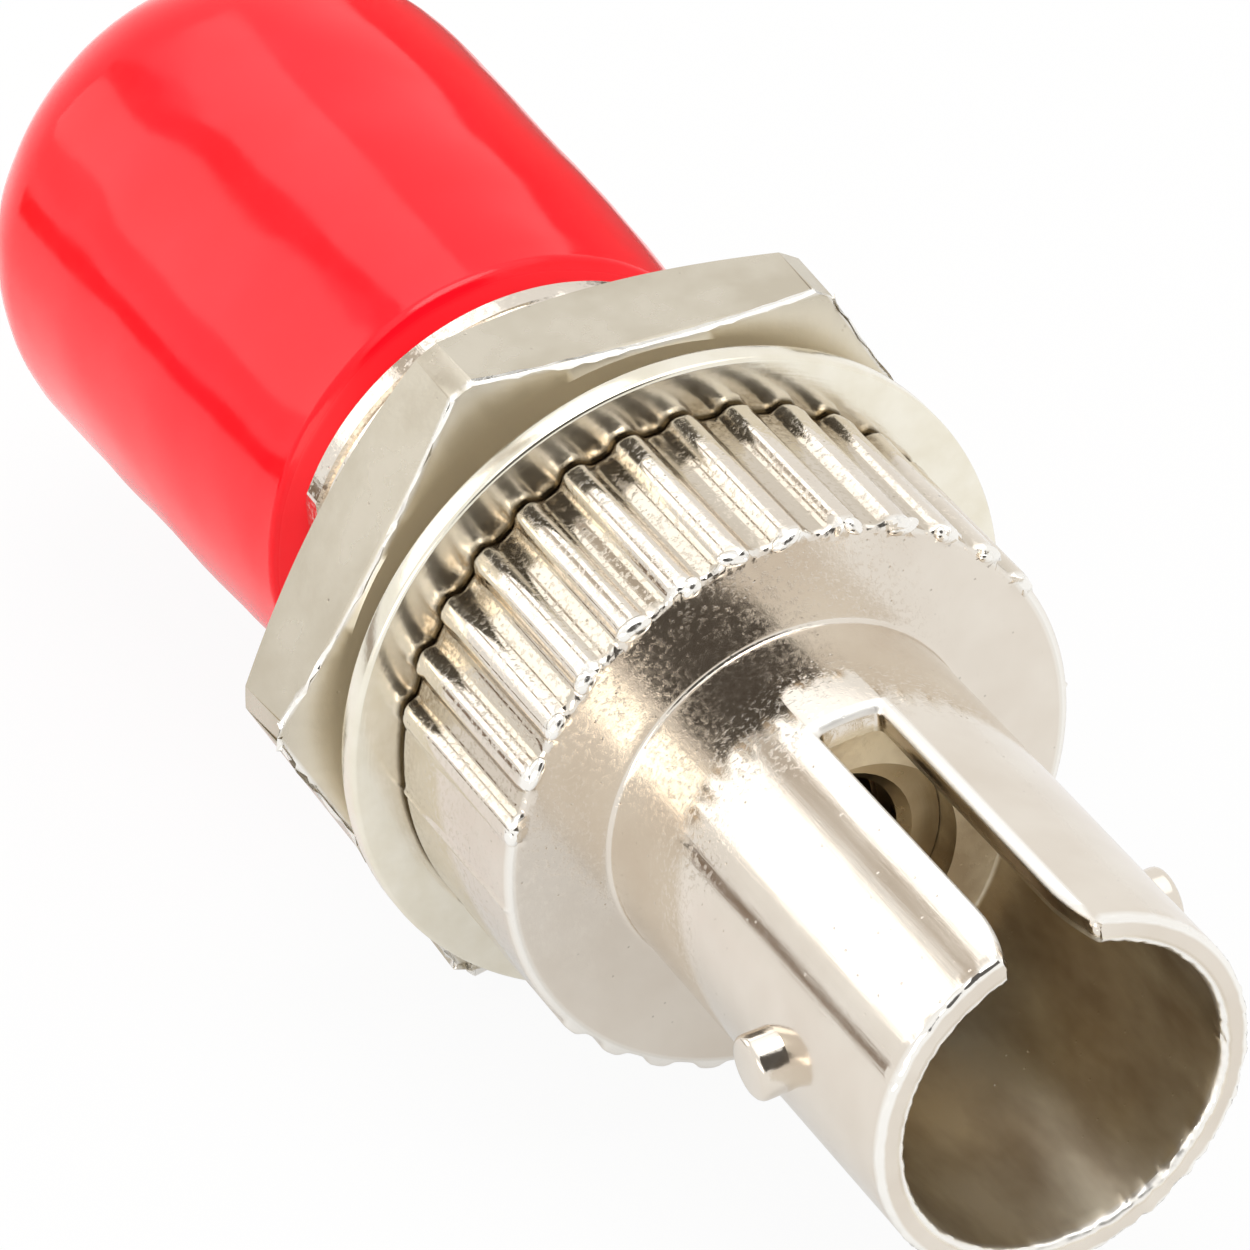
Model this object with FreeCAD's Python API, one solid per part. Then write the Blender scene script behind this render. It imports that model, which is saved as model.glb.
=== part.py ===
"""Simplex fibre coupler: a keyed bayonet barrel at each end, a knurled flange and a nut for a panel.

Millimetres. The coupler's axis lies along Y and the open front mouth faces -Y. The origin is on the axis,
in the flange's rear face, where the panel seats. +Z is up with the nut lying on one of its flats.
"""
import FreeCAD
import Part
import math
import os

V = FreeCAD.Vector
ORIGIN = V(0, 0, 0)
AXIS = V(0, 1, 0)

# Bayonet barrels, the same at both ends
socket_d = 6.07
barrel_wall = 0.515
socket_depth = 7.40
rim_round = 0.14
socket_lead = 0.12
keyway_width = 1.20
keyway_stop = 0.40
keyway_flare = 0.30
keyway_flare_length = 1.35
lug_d = 1.20
lug_height = 0.55
lug_setback = 3.60
lug_edge = 0.12

# Body casting: stations along the axis and the knurled flange
front_reach = 13.80
rear_reach = 9.40
flange_face = 1.70
flange_thickness = 4.15
root_fillet = 0.10
rib_count = 32
rib_crest = 0.40
rib_depth = 0.20
rib_end_chamfer = 0.10
rib_phase = 1.2
flange_core_wall = 0.60

# Threaded shank, three eighths of an inch by 32 threads to the inch, with a flat for a D-shaped panel hole
thread_d = 9.525
thread_pitch = 25.4 / 32
thread_angle = 60.0
thread_depth = 0.43
thread_crest = 0.10
panel_land = 1.00
shank_length = 6.20
shank_end_land = 0.55
shank_end_chamfer = 0.12
flat_depth = 0.5125
key_lean = 6.6

# Ferrule guides, sleeve holder and split alignment sleeve
ferrule_d = 2.50
guide_clearance = 0.05
guide_lead = 0.20
guide_recess = 0.60
guide_web = 0.90
holder_wall = 0.35
sleeve_wall = 0.35
sleeve_float = 0.10
sleeve_end_play = 0.10
sleeve_slit = 0.40
spigot_step = 0.15
spigot_length = 4.50
press_clearance = 0.01

# Washer and hexagon nut
washer_rim = 1.5375
washer_thickness = 0.50
washer_edge = 0.08
washer_clearance = 0.20
nut_rim = 1.5875
nut_thickness = 2.20
nut_gap = 0.75
nut_land_step = 0.15
nut_corner_trim = 0.132
nut_front_bevel = 15.0
nut_rear_bevel = 28.0
nut_bore_chamfer = 0.30
nut_clearance = 0.05

# Push-on dust cap of soft vinyl
cap_gap = 0.05
cap_lug_clearance = 0.05
cap_wall = 1.10
cap_waist_in = 0.10
cap_lip_wall = 0.73
cap_lip_round = 0.40
cap_side_length = 11.15
cap_dome = 3.76
cap_shoulder_round = 3.00
cap_end_wall = 1.30

# Radii
socket_r = socket_d / 2
barrel_r = socket_r + barrel_wall
lug_tip_r = barrel_r + lug_height
flange_r = barrel_r + root_fillet + flange_face + rib_end_chamfer + rib_depth
thread_r = thread_d / 2
guide_r = ferrule_d / 2 + guide_clearance
sleeve_r = ferrule_d / 2 + sleeve_wall
cavity_r = sleeve_r + sleeve_float
holder_bore_r = cavity_r + holder_wall
spigot_bore_r = barrel_r - spigot_step
cap_bore_r = lug_tip_r + cap_lug_clearance
cap_r = cap_bore_r + cap_wall

# Stations along the axis, from the front mouth to the end of the cap
front_mouth = -front_reach
front_shoulder = front_mouth + socket_depth
front_guide = front_shoulder + guide_recess
front_web = front_guide + guide_web
flange_front = -flange_thickness
shank_end = shank_length
spigot_front = shank_end - spigot_length
rear_mouth = shank_end + rear_reach
rear_shoulder = rear_mouth - socket_depth
rear_guide = rear_shoulder - guide_recess
rear_web = rear_guide - guide_web
nut_front = washer_thickness + nut_gap
nut_rear = nut_front + nut_thickness
cap_mouth = shank_end + cap_gap
cap_dome_base = cap_mouth + cap_side_length


def arc(centre, radius, start_angle, end_angle):
    """One step of an outline: the middle and the end of an arc about a centre, angles in degrees."""
    def at(angle):
        turn = math.radians(angle)
        return (centre[0] + radius * math.cos(turn), centre[1] + radius * math.sin(turn))
    return (at((start_angle + end_angle) / 2), at(end_angle))


def outline(start, *steps):
    """A closed flat face; each step is an end point, or a (middle, end) pair for an arc."""
    edges = []
    here = start
    for step in steps + (start,):
        if isinstance(step[0], tuple):
            middle, end = step
            edges.append(Part.Arc(V(*here, 0), V(*middle, 0), V(*end, 0)).toShape())
        else:
            end = step
            edges.append(Part.makeLine(V(*here, 0), V(*end, 0)))
        here = end
    return Part.Face(Part.Wire(edges))


def turned(start, *steps):
    """A solid of revolution about the coupler's axis from an outline of (radius, station) points."""
    return outline(start, *steps).revolve(ORIGIN, AXIS, 360)


def leaned(shape):
    """The same shape turned about the axis to the keyway's angle from the vertical."""
    shape.rotate(ORIGIN, AXIS, -key_lean)
    return shape


def keyway(mouth, inward):
    """Cutter for the keyway in the top of a barrel, flared at the mouth; inward is +1 or -1 along Y."""
    half = keyway_width / 2
    flared = half + keyway_flare
    flare_r = (keyway_flare_length ** 2 + keyway_flare ** 2) / (2 * keyway_flare)
    mid_depth = keyway_flare_length / 2
    mid_half = half + flare_r - math.sqrt(flare_r ** 2 - mid_depth ** 2)
    mouth_out = mouth - inward * rim_round
    mouth_mid = mouth + inward * mid_depth
    straight = mouth + inward * keyway_flare_length
    end = mouth + inward * (socket_depth - keyway_stop)
    face = outline(
        (-flared, mouth_out), (-flared, mouth),
        ((-mid_half, mouth_mid), (-half, straight)),
        (-half, end), (half, end), (half, straight),
        ((mid_half, mouth_mid), (flared, mouth)),
        (flared, mouth_out))
    face.translate(V(0, 0, socket_r / 2))
    return leaned(face.extrude(V(0, 0, barrel_r + root_fillet - socket_r / 2)))


def lugs(mouth, inward):
    """The two bayonet lugs of a barrel, at right angles to its keyway."""
    root_r = (socket_r + barrel_r) / 2
    lug_r = lug_d / 2
    section = outline(
        (root_r, 0), (root_r, lug_r), (lug_tip_r - lug_edge, lug_r),
        (lug_tip_r, lug_r - lug_edge), (lug_tip_r, 0))
    lug = section.revolve(ORIGIN, V(1, 0, 0), 360)
    lug.translate(V(0, mouth + inward * lug_setback, 0))
    opposite = lug.copy()
    opposite.rotate(ORIGIN, AXIS, 180)
    return [leaned(lug), leaned(opposite)]


def thread_grooves():
    """Outline points of the shank's thread, from the panel land to the plain end."""
    flank = thread_depth * math.tan(math.radians(thread_angle / 2))
    root_r = thread_r - thread_depth
    thread_end = shank_end - shank_end_land
    grooves = int((thread_end - panel_land) / thread_pitch)
    points = []
    for turn in range(grooves, 0, -1):
        low = thread_end - turn * thread_pitch + thread_crest / 2
        high = low + thread_pitch - thread_crest
        points += [(thread_r, low), (root_r, low + flank), (root_r, high - flank), (thread_r, high)]
    return points


def knurl():
    """The flange's ring of straight ribs with hollow valleys between them and bevelled ends."""
    pitch = 360 / rib_count
    crest = math.degrees(rib_crest / flange_r)
    root_r = flange_r - rib_depth

    def rim(radius, angle):
        turn = math.radians(angle)
        return V(radius * math.cos(turn), flange_front, radius * math.sin(turn))
    edges = []
    for rib in range(rib_count):
        middle = rib_phase + (rib + 0.5) * pitch
        start = rim(flange_r, middle - crest / 2)
        end = rim(flange_r, middle + crest / 2)
        following = rim(flange_r, middle + pitch - crest / 2)
        edges.append(Part.Arc(start, rim(flange_r, middle), end).toShape())
        edges.append(Part.Arc(end, rim(root_r, middle + pitch / 2), following).toShape())
    ring = Part.Face(Part.Wire(edges)).extrude(V(0, flange_thickness, 0))
    hole_r = root_r - 2 * flange_core_wall
    bevelled = turned(
        (hole_r, flange_front), (flange_r - rib_end_chamfer, flange_front),
        (flange_r, flange_front + rib_end_chamfer),
        (flange_r, -rib_end_chamfer), (flange_r - rib_end_chamfer, 0), (hole_r, 0))
    return ring.common(bevelled)


def make_body():
    """Front barrel, knurled flange and threaded shank, cast in one piece."""
    core_r = flange_r - rib_depth - flange_core_wall
    casting = turned(
        (socket_r + socket_lead, front_mouth),
        (barrel_r - rim_round, front_mouth),
        arc((barrel_r - rim_round, front_mouth + rim_round), rim_round, -90, 0),
        (barrel_r, flange_front - root_fillet),
        arc((barrel_r + root_fillet, flange_front - root_fillet), root_fillet, 180, 90),
        (flange_r - rib_depth - rib_end_chamfer, flange_front),
        (core_r, flange_front + rib_end_chamfer),
        (core_r, 0), (thread_r, 0),
        *thread_grooves(),
        (thread_r, shank_end - shank_end_chamfer),
        (thread_r - shank_end_chamfer, shank_end),
        (spigot_bore_r, shank_end), (spigot_bore_r, spigot_front),
        (holder_bore_r, spigot_front), (holder_bore_r, front_shoulder),
        (socket_r, front_shoulder), (socket_r, front_mouth + socket_lead))
    flat = Part.makeBox(thread_r, shank_length, 2 * thread_d, V(flat_depth - thread_d, 0, -thread_d))
    body = casting.fuse([knurl()] + lugs(front_mouth, 1))
    return body.cut([keyway(front_mouth, 1), leaned(flat)]).removeSplitter()


def make_rear_barrel():
    """Rear barrel with its ferrule guide, on a spigot pressed into the end of the shank."""
    spigot_r = spigot_bore_r - press_clearance
    bore_r = holder_bore_r
    tube = turned(
        (bore_r, spigot_front), (spigot_r, spigot_front), (spigot_r, shank_end), (barrel_r, shank_end),
        (barrel_r, rear_mouth - rim_round),
        arc((barrel_r - rim_round, rear_mouth - rim_round), rim_round, 0, 90),
        (socket_r + socket_lead, rear_mouth), (socket_r, rear_mouth - socket_lead),
        (socket_r, rear_shoulder), (bore_r, rear_shoulder), (bore_r, rear_guide),
        (guide_r + guide_lead, rear_guide), (guide_r, rear_guide - guide_lead),
        (guide_r, rear_web), (bore_r, rear_web))
    return tube.fuse(lugs(rear_mouth, -1)).cut(keyway(rear_mouth, -1)).removeSplitter()


def make_sleeve_holder():
    """Tube that carries the sleeve, with the front ferrule guide in its closed end."""
    holder_r = holder_bore_r - press_clearance
    rear = rear_web - press_clearance
    return turned(
        (guide_r + guide_lead, front_guide), (holder_r, front_guide), (holder_r, rear),
        (cavity_r, rear), (cavity_r, front_web), (guide_r, front_web), (guide_r, front_guide + guide_lead))


def make_alignment_sleeve():
    """Split sleeve that lines up the two ferrules, slit along the keyway's side."""
    low = front_web + sleeve_end_play
    high = rear_web - sleeve_end_play
    bore_r = ferrule_d / 2
    tube = turned((bore_r, low), (sleeve_r, low), (sleeve_r, high), (bore_r, high))
    slit = Part.makeBox(sleeve_slit, high - low, sleeve_r * 2, V(-sleeve_slit / 2, low, 0))
    return tube.cut(leaned(slit))


def make_washer():
    """Plain flat washer against the flange."""
    hole_r = thread_r + washer_clearance
    outer_r = hole_r + washer_rim
    return turned(
        (hole_r + washer_edge, 0), (outer_r - washer_edge, 0), (outer_r, washer_edge),
        (outer_r, washer_thickness - washer_edge), (outer_r - washer_edge, washer_thickness),
        (hole_r + washer_edge, washer_thickness),
        (hole_r, washer_thickness - washer_edge), (hole_r, washer_edge))


def make_nut():
    """Hexagon panel nut, bevelled on both faces, lying on one of its flats."""
    flat_r = thread_r + nut_rim
    point_r = 2 * flat_r / math.sqrt(3)
    land_r = flat_r - nut_land_step
    corner_r = point_r - nut_corner_trim
    front_drop = (corner_r - land_r) * math.tan(math.radians(nut_front_bevel))
    rear_drop = (corner_r - land_r) * math.tan(math.radians(nut_rear_bevel))
    bore_r = thread_r + nut_clearance
    corners = []
    for corner in range(7):
        turn = math.radians(60 * corner)
        corners.append(V(point_r * math.cos(turn), nut_front, point_r * math.sin(turn)))
    prism = Part.Face(Part.makePolygon(corners)).extrude(V(0, nut_thickness, 0))
    bevelled = turned(
        (bore_r + nut_bore_chamfer, nut_front), (land_r, nut_front), (corner_r, nut_front + front_drop),
        (corner_r, nut_rear - rear_drop), (land_r, nut_rear), (bore_r + nut_bore_chamfer, nut_rear),
        (bore_r, nut_rear - nut_bore_chamfer), (bore_r, nut_front + nut_bore_chamfer))
    return prism.common(bevelled)


def dome(radius, shoulder, height, base):
    """Two tangent arcs from a cylinder's edge to the axis: a tight shoulder and a flatter crown."""
    inset = radius - shoulder
    turn = 90 - 2 * math.degrees(math.atan((height - shoulder) / inset))
    crown_r = shoulder + inset / math.cos(math.radians(turn))
    crown_centre = (0, base + height - crown_r)
    return [arc((inset, base), shoulder, 0, turn), arc(crown_centre, crown_r, turn, 90)]


def make_dust_cap():
    """Dipped vinyl cap over the rear barrel, wider in its middle than at its lip."""
    lip_r = cap_bore_r + cap_lip_wall
    waist = ((cap_r - cap_waist_in, (cap_mouth + cap_dome_base) / 2), (cap_r, cap_dome_base))
    shell = outline(
        (0, cap_mouth), (lip_r - cap_lip_round, cap_mouth),
        arc((lip_r - cap_lip_round, cap_mouth + cap_lip_round), cap_lip_round, -90, 0),
        waist, *dome(cap_r, cap_shoulder_round, cap_dome, cap_dome_base))
    hollow = outline(
        (0, cap_mouth), (cap_bore_r, cap_mouth), (cap_bore_r, cap_dome_base),
        *dome(cap_bore_r, cap_shoulder_round - cap_wall, cap_dome - cap_end_wall, cap_dome_base))
    return shell.revolve(ORIGIN, AXIS, 360).cut(hollow.revolve(ORIGIN, AXIS, 360))


os.makedirs("parts", exist_ok=True)
pieces = {
    "body": make_body(),
    "rear_barrel": make_rear_barrel(),
    "sleeve_holder": make_sleeve_holder(),
    "alignment_sleeve": make_alignment_sleeve(),
    "washer": make_washer(),
    "hex_nut": make_nut(),
    "dust_cap": make_dust_cap(),
}
for node, shape in pieces.items():
    shape.Solids[0].exportStep("parts/" + node + ".step")
    print(node, shape.isValid(), len(shape.Solids), round(shape.Volume, 2))
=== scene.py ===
import math
import bpy
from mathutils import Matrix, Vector


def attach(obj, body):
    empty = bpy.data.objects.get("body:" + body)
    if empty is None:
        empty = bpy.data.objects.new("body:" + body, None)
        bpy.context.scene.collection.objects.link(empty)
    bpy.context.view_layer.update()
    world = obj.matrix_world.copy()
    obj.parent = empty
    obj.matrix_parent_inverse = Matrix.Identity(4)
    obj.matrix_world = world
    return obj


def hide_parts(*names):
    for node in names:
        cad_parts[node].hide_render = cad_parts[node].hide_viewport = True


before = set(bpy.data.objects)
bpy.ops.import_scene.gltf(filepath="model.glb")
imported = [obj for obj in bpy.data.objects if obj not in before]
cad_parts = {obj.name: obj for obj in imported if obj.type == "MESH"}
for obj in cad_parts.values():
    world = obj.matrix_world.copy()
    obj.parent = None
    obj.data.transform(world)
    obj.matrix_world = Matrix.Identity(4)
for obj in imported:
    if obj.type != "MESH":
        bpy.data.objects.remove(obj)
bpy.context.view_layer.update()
scene = bpy.context.scene

# Sizes in millimetres on the frame's axes: the coupler's axis along Y, the open front mouth
# towards -Y, +Z up.
front_mouth = -13.80
front_shoulder = -6.40
flange_front = -4.15
spigot_front = 1.70
shank_end = 6.20
rear_web = 6.70
rear_guide = 7.60
rear_shoulder = 8.20
rear_mouth = 15.60
hair = 0.01
weld_gap = 0.0005

# Front and rear barrel.
socket_r = 3.035
barrel_r = 3.55
barrel_columns = 256
rear_barrel_columns = 192
rim_round = 0.14
socket_lead = 0.12
shoulder_round = 0.10
edge_row = 0.40
lug_rows = (2.2, 5.0)
keyway_half = 0.60
keyway_flare = 0.30
keyway_flare_length = 1.35
keyway_flare_steps = 6
keyway_length = 7.00
keyway_corner = 0.12
keyway_end_row = 0.24
keyway_overhang = 0.40
keyway_floor = 1.5
keyway_edge = 0.20
lug_r = 0.60
lug_root_r = socket_r + 0.2
lug_tip_r = 4.10
lug_tip_round = 0.14
lug_setback = 3.60
rim_bead_r = 0.25
rim_bead_inset = 0.12
mouth_burr_depth = 0.10
mouth_chips_right_of = 0.4
mouth_chips_below = 0.6
key_lean = math.radians(-6.6)

# How the keyway's long edges are broken: steps outwards and upwards, as shares of their width.
keyway_edge_steps = ((0.13, 0.50), (0.37, 0.37), (0.50, 0.18), (1.50, 0.10), (0.0, 5.0))

# Flange and its ribs, which are counted round from the first rib's angle. Its front edge is given by
# radius and distance behind the face, its rear edge by radius and station.
root_fillet = 0.10
face_root_r = 3.75
face_seam_r = 4.40
flange_face_r = 5.20
flange_r = 5.65
flange_front_edge = [(5.30, 0.0), (5.53, 0.0), (5.60, 0.02), (5.64, 0.06), (flange_r, 0.13), (flange_r, 0.30)]
flange_side_rows = (-3.4, -2.1, -1.2, -0.62, -0.36, -0.20)
flange_rear_edge = [(5.635, -0.11), (5.60, -0.05), (5.55, -0.015), (5.48, 0.0), (4.95, 0.0)]
ribbed_r = 5.35
burr_r = 5.32
burr_depth = 0.10
rib_rear_band = (-0.45, -0.15)
lip_r = 5.50
lip_depth = 0.11
lip_columns = 4
rib_lip = 0.12
rib_count = 32
rib_columns = 16
rib_phase = 1.2
rib_hollows = {2: 0.010, 3: 0.050, 4: 0.130, 5: 0.190, 6: 0.210, 7: 0.215, 8: 0.215}
upper_ribs = (3, 15)
lower_ribs = (19.5, 29.5)
lower_rib_share = 0.6
rib_shoulder = 3
plain_side_drop = 0.08
parting_columns = (8, 264)
parting_rise = 0.04
flange_columns = rib_count * rib_columns

# Burrs at the ribs' front ends: each measure has a middle, a swing from rib to rib and its rate.
rib_bead = 0.21
bead_turn = (0.0, 1.5, 1.7)
bead_reach = (-0.15, 0.05, 3.1)
bead_station = (-0.02, 0.04, 4.3)
bead_tilt = (0.0, 0.5, 2.9)
bead_width = (1.35, 0.35, 2.4)
bead_length = 0.8
bead_height = (0.75, 0.15, 5.3)
bead_least = 0.40
bead_growth = 0.15
bead_worn_sink = 0.12

# Threaded shank.
thread_r = 4.7625
thread_pitch = 25.4 / 32
thread_depth = 0.43
thread_crest = 0.10
thread_flank = math.radians(30)
thread_start = 0.95
thread_end = 5.65
thread_turns = 10
thread_steps = 96
thread_weld_gap = 0.001
seam_gap = 0.05
seam_reach = 0.002
shank_tip_r = 4.6425
shank_end_chamfer = 0.12
shank_flat = 4.25
flat_start = 0.002
flat_block = (4.0, shank_end + 1.0, 20.0)

# Ferrule guide, the holder's bore and the rear barrel's spigot.
guide_r = 1.30
guide_chamfer = 0.20
holder_bore_r = 2.05
spigot_r = 3.39
spigot_bore_r = 3.40

# Washer.
washer_hole_r = 4.9625
washer_r = 6.50
washer_thickness = 0.50
washer_round = 0.09
washer_columns = 256

# Hexagon nut.
nut_front = 1.25
nut_rear = 3.45
nut_flat_r = 6.35
nut_land_r = 6.20
nut_corner_r = 7.20
nut_front_slope = math.tan(math.radians(15))
nut_rear_slope = math.tan(math.radians(28))
nut_bore_r = 4.8125
nut_bore_chamfer = 0.30
nut_columns = 180
nut_edge = 0.10
nut_edge_angle = math.radians(14)
nut_worn_depth = 0.50
nut_worn_reach = 0.25

# Dust cap, which stands a little askew.
cap_mouth = 6.25
cap_lip_r = 4.88
cap_lip_row = 0.06
cap_lip_crest = 0.24
cap_lip_slope = 0.36
cap_slope_rows = (0.08, 0.5, 0.96)
cap_bore_r = 4.30
cap_bore_chamfer = 0.05
cap_waist_r = 5.15
cap_r = 5.25
cap_columns = 160
cap_side_rows = 20
cap_dome_base = 17.40
cap_dome = 3.76
cap_dome_rows = 10
cap_pole = 89.5
cap_pole_r = 0.20
cap_shoulder = 3.00
cap_inner_shoulder = 2.00
cap_end_wall = 1.30
cap_skin_inset = 0.30
cap_skin_height = 2.70
cap_askew = math.radians(0.55)
cap_askew_sideways = 0.82
cap_askew_upwards = 0.57
cap_askew_shift = 3.0
cap_setback = 0.06


def clear():
    """Leave nothing selected, so that the next step works on its own piece only."""
    bpy.ops.object.select_all(action="DESELECT")


def take(piece):
    """Make one piece the only selected and the active one."""
    clear()
    piece.select_set(True)
    bpy.context.view_layer.objects.active = piece


def pick(piece, test):
    """Go into edit mode on a piece with the vertices selected whose place passes the test."""
    take(piece)
    mesh = piece.data
    mesh.polygons.foreach_set("select", [False] * len(mesh.polygons))
    mesh.edges.foreach_set("select", [False] * len(mesh.edges))
    mesh.vertices.foreach_set("select", [bool(test(vertex.co)) for vertex in mesh.vertices])
    bpy.ops.object.mode_set(mode="EDIT")
    bpy.ops.mesh.select_mode(type="VERT")


def open_up():
    """Go into edit mode with the whole of the active piece selected."""
    bpy.ops.object.mode_set(mode="EDIT")
    bpy.ops.mesh.select_all(action="SELECT")


def extrude(step):
    """Draw out what is selected by a step."""
    bpy.ops.mesh.extrude_region_move(TRANSFORM_OT_translate={"value": step})


def done():
    """Back to object mode."""
    bpy.ops.object.mode_set(mode="OBJECT")


def settle():
    """Put the selected piece's place, turn and size into its mesh."""
    bpy.ops.object.transform_apply(location=True, rotation=True, scale=True)


def started(name):
    """Name the shape that was just added and settle it."""
    piece = bpy.context.object
    piece.name = name
    settle()
    return piece


def across(place):
    """Distance from the coupler's axis."""
    return math.hypot(place.x, place.z)


def arc(centre, radius, start, end, steps):
    """Points (radius, station) along an arc of a turned outline, angles in degrees."""
    angles = [math.radians(start + (end - start) * step / steps) for step in range(steps + 1)]
    return [(centre[0] + radius * math.cos(angle), centre[1] + radius * math.sin(angle)) for angle in angles]


def turned(name, outline, columns, start=0.0):
    """A piece turned about the axis: a ring is extruded and sized from point to point of the outline."""
    clear()
    radius, station = outline[0]
    bpy.ops.mesh.primitive_circle_add(
        vertices=columns, radius=radius, fill_type="NOTHING",
        location=(0, station, 0), rotation=(math.pi / 2, start, 0))
    piece = started(name)
    open_up()
    for next_radius, next_station in outline[1:]:
        extrude((0, next_station - station, 0))
        growth = next_radius / radius
        bpy.ops.transform.resize(value=(growth, 1, growth), center_override=(0, next_station, 0))
        radius, station = next_radius, next_station
    done()
    return piece


def close_up(piece):
    """Weld a piece's meeting edges and turn its faces outwards."""
    take(piece)
    open_up()
    bpy.ops.mesh.remove_doubles(threshold=weld_gap)
    bpy.ops.mesh.normals_make_consistent(inside=False)
    done()


def point(name, place):
    """A single point in edit mode, from which an outline is drawn."""
    clear()
    bpy.ops.mesh.primitive_plane_add(size=0.1, location=place)
    piece = started(name)
    open_up()
    bpy.ops.mesh.merge(type="CENTER")
    return piece


def drawn(name, points):
    """A flat outline drawn from point to point and filled."""
    piece = point(name, points[0])
    for here, there in zip(points, points[1:]):
        extrude([b - a for a, b in zip(here, there)])
    bpy.ops.mesh.select_all(action="SELECT")
    bpy.ops.mesh.edge_face_add()
    done()
    return piece


def lean(piece, angle=key_lean):
    """Turn a piece about the coupler's axis."""
    take(piece)
    piece.rotation_euler = (0, angle, 0)
    settle()


def combine(piece, tool, operation):
    """Cut, join or intersect a piece with a tool piece, which is then gone."""
    take(piece)
    step = piece.modifiers.new("combine", "BOOLEAN")
    step.operation = operation
    step.solver = "EXACT"
    step.object = tool
    bpy.ops.object.modifier_apply(modifier=step.name)
    bpy.data.objects.remove(tool, do_unlink=True)


def join(parts, main):
    """Make several pieces one mesh under the main one's name."""
    clear()
    for part in [*parts, main]:
        part.select_set(True)
    bpy.context.view_layer.objects.active = main
    bpy.ops.object.join()


def roughen(piece, name, grain, amount, test, level=0.5):
    """Push part of a surface in and out by a clouded pattern, as a burr or an uneven skin has it."""
    take(piece)
    group = piece.vertex_groups.new(name=name)
    group.add([vertex.index for vertex in piece.data.vertices if test(vertex.co)], 1.0, "REPLACE")
    clouds = bpy.data.textures.new(name, "CLOUDS")
    clouds.noise_scale = grain
    clouds.noise_depth = 2
    step = piece.modifiers.new(name, "DISPLACE")
    step.texture = clouds
    step.texture_coords = "LOCAL"
    step.vertex_group = name
    step.strength = amount
    step.mid_level = level
    bpy.ops.object.modifier_apply(modifier=name)
    piece.vertex_groups.clear()
    bpy.data.textures.remove(clouds)


def finish(piece, smooth_below, body, node, surface):
    """Bring a piece to metres, smooth it and put it in the place of its solid."""
    close_up(piece)
    take(piece)
    piece.scale = (0.001, 0.001, 0.001)
    settle()
    bpy.ops.object.shade_smooth_by_angle(angle=math.radians(smooth_below))
    weigh = piece.modifiers.new("weigh", "WEIGHTED_NORMAL")
    weigh.keep_sharp = True
    bpy.ops.object.modifier_apply(modifier="weigh")
    piece.data.materials.clear()
    piece.data.materials.append(surface)
    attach(piece, body)
    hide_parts(node)


def keyway_outline():
    """Half widths and depths of the keyway from the mouth to its end and back."""
    flare_r = (keyway_flare_length ** 2 + keyway_flare ** 2) / (2 * keyway_flare)
    side = [(keyway_half + keyway_flare, -keyway_overhang), (keyway_half + keyway_flare, 0.0)]
    for step in range(1, keyway_flare_steps + 1):
        depth = keyway_flare_length * step / keyway_flare_steps
        left = keyway_flare_length - depth
        side.append((keyway_half + flare_r - math.sqrt(flare_r ** 2 - left ** 2), depth))
    for angle in (0, 30, 60, 90):
        turn = math.radians(angle)
        side.append((keyway_half - keyway_corner + keyway_corner * math.cos(turn),
                     keyway_length - keyway_corner + keyway_corner * math.sin(turn)))
    side.append((keyway_end_row, keyway_length))
    return side + [(0.0, keyway_length)] + [(-x, depth) for x, depth in reversed(side)]


def keyway_cutter(mouth, inward):
    """The keyway's hollow, flared at the mouth, with its long edges broken where they meet the barrel."""
    outline = keyway_outline()
    cutter = drawn("keyway", [(x, mouth + inward * depth, keyway_floor) for x, depth in outline])
    edge_z = math.sqrt(barrel_r ** 2 - keyway_half ** 2) - keyway_edge
    middle_z = (keyway_floor + barrel_r) / 2
    pick(cutter, lambda place: True)
    extrude((0, 0, edge_z - keyway_floor))
    done()
    for width in sorted({round(abs(place[0]), 4) for place in outline}):
        drop = math.sqrt(barrel_r ** 2 - width ** 2) - keyway_edge - edge_z
        pick(cutter, lambda place: place.z > middle_z and abs(abs(place.x) - width) < 0.001)
        bpy.ops.transform.translate(value=(0, 0, drop))
        done()
    pick(cutter, lambda place: place.z > middle_z)
    width = keyway_half
    for wider, rise in keyway_edge_steps:
        wider, rise = wider * keyway_edge, rise * keyway_edge
        extrude((0, 0, rise))
        growth = (1 + wider / width, 1 + wider / keyway_length, 1)
        bpy.ops.transform.resize(value=growth, center_override=(0, mouth, 0))
        width += wider
    done()
    close_up(cutter)
    lean(cutter)
    return cutter


def bayonet_lug(mouth, inward, side_turn):
    """One bayonet lug, its root sunk in the barrel's wall and its tip rounded off."""
    clear()
    bpy.ops.mesh.primitive_cylinder_add(
        vertices=64, radius=lug_r, depth=lug_tip_r - lug_root_r,
        location=((lug_tip_r + lug_root_r) / 2, mouth + inward * lug_setback, 0),
        rotation=(0, math.pi / 2, 0))
    lug = started("bayonet lug")
    pick(lug, lambda place: place.x > lug_tip_r - hair)
    bpy.ops.mesh.bevel(offset=lug_tip_round, segments=4, affect="EDGES")
    done()
    lean(lug, key_lean + side_turn)
    return lug


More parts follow.
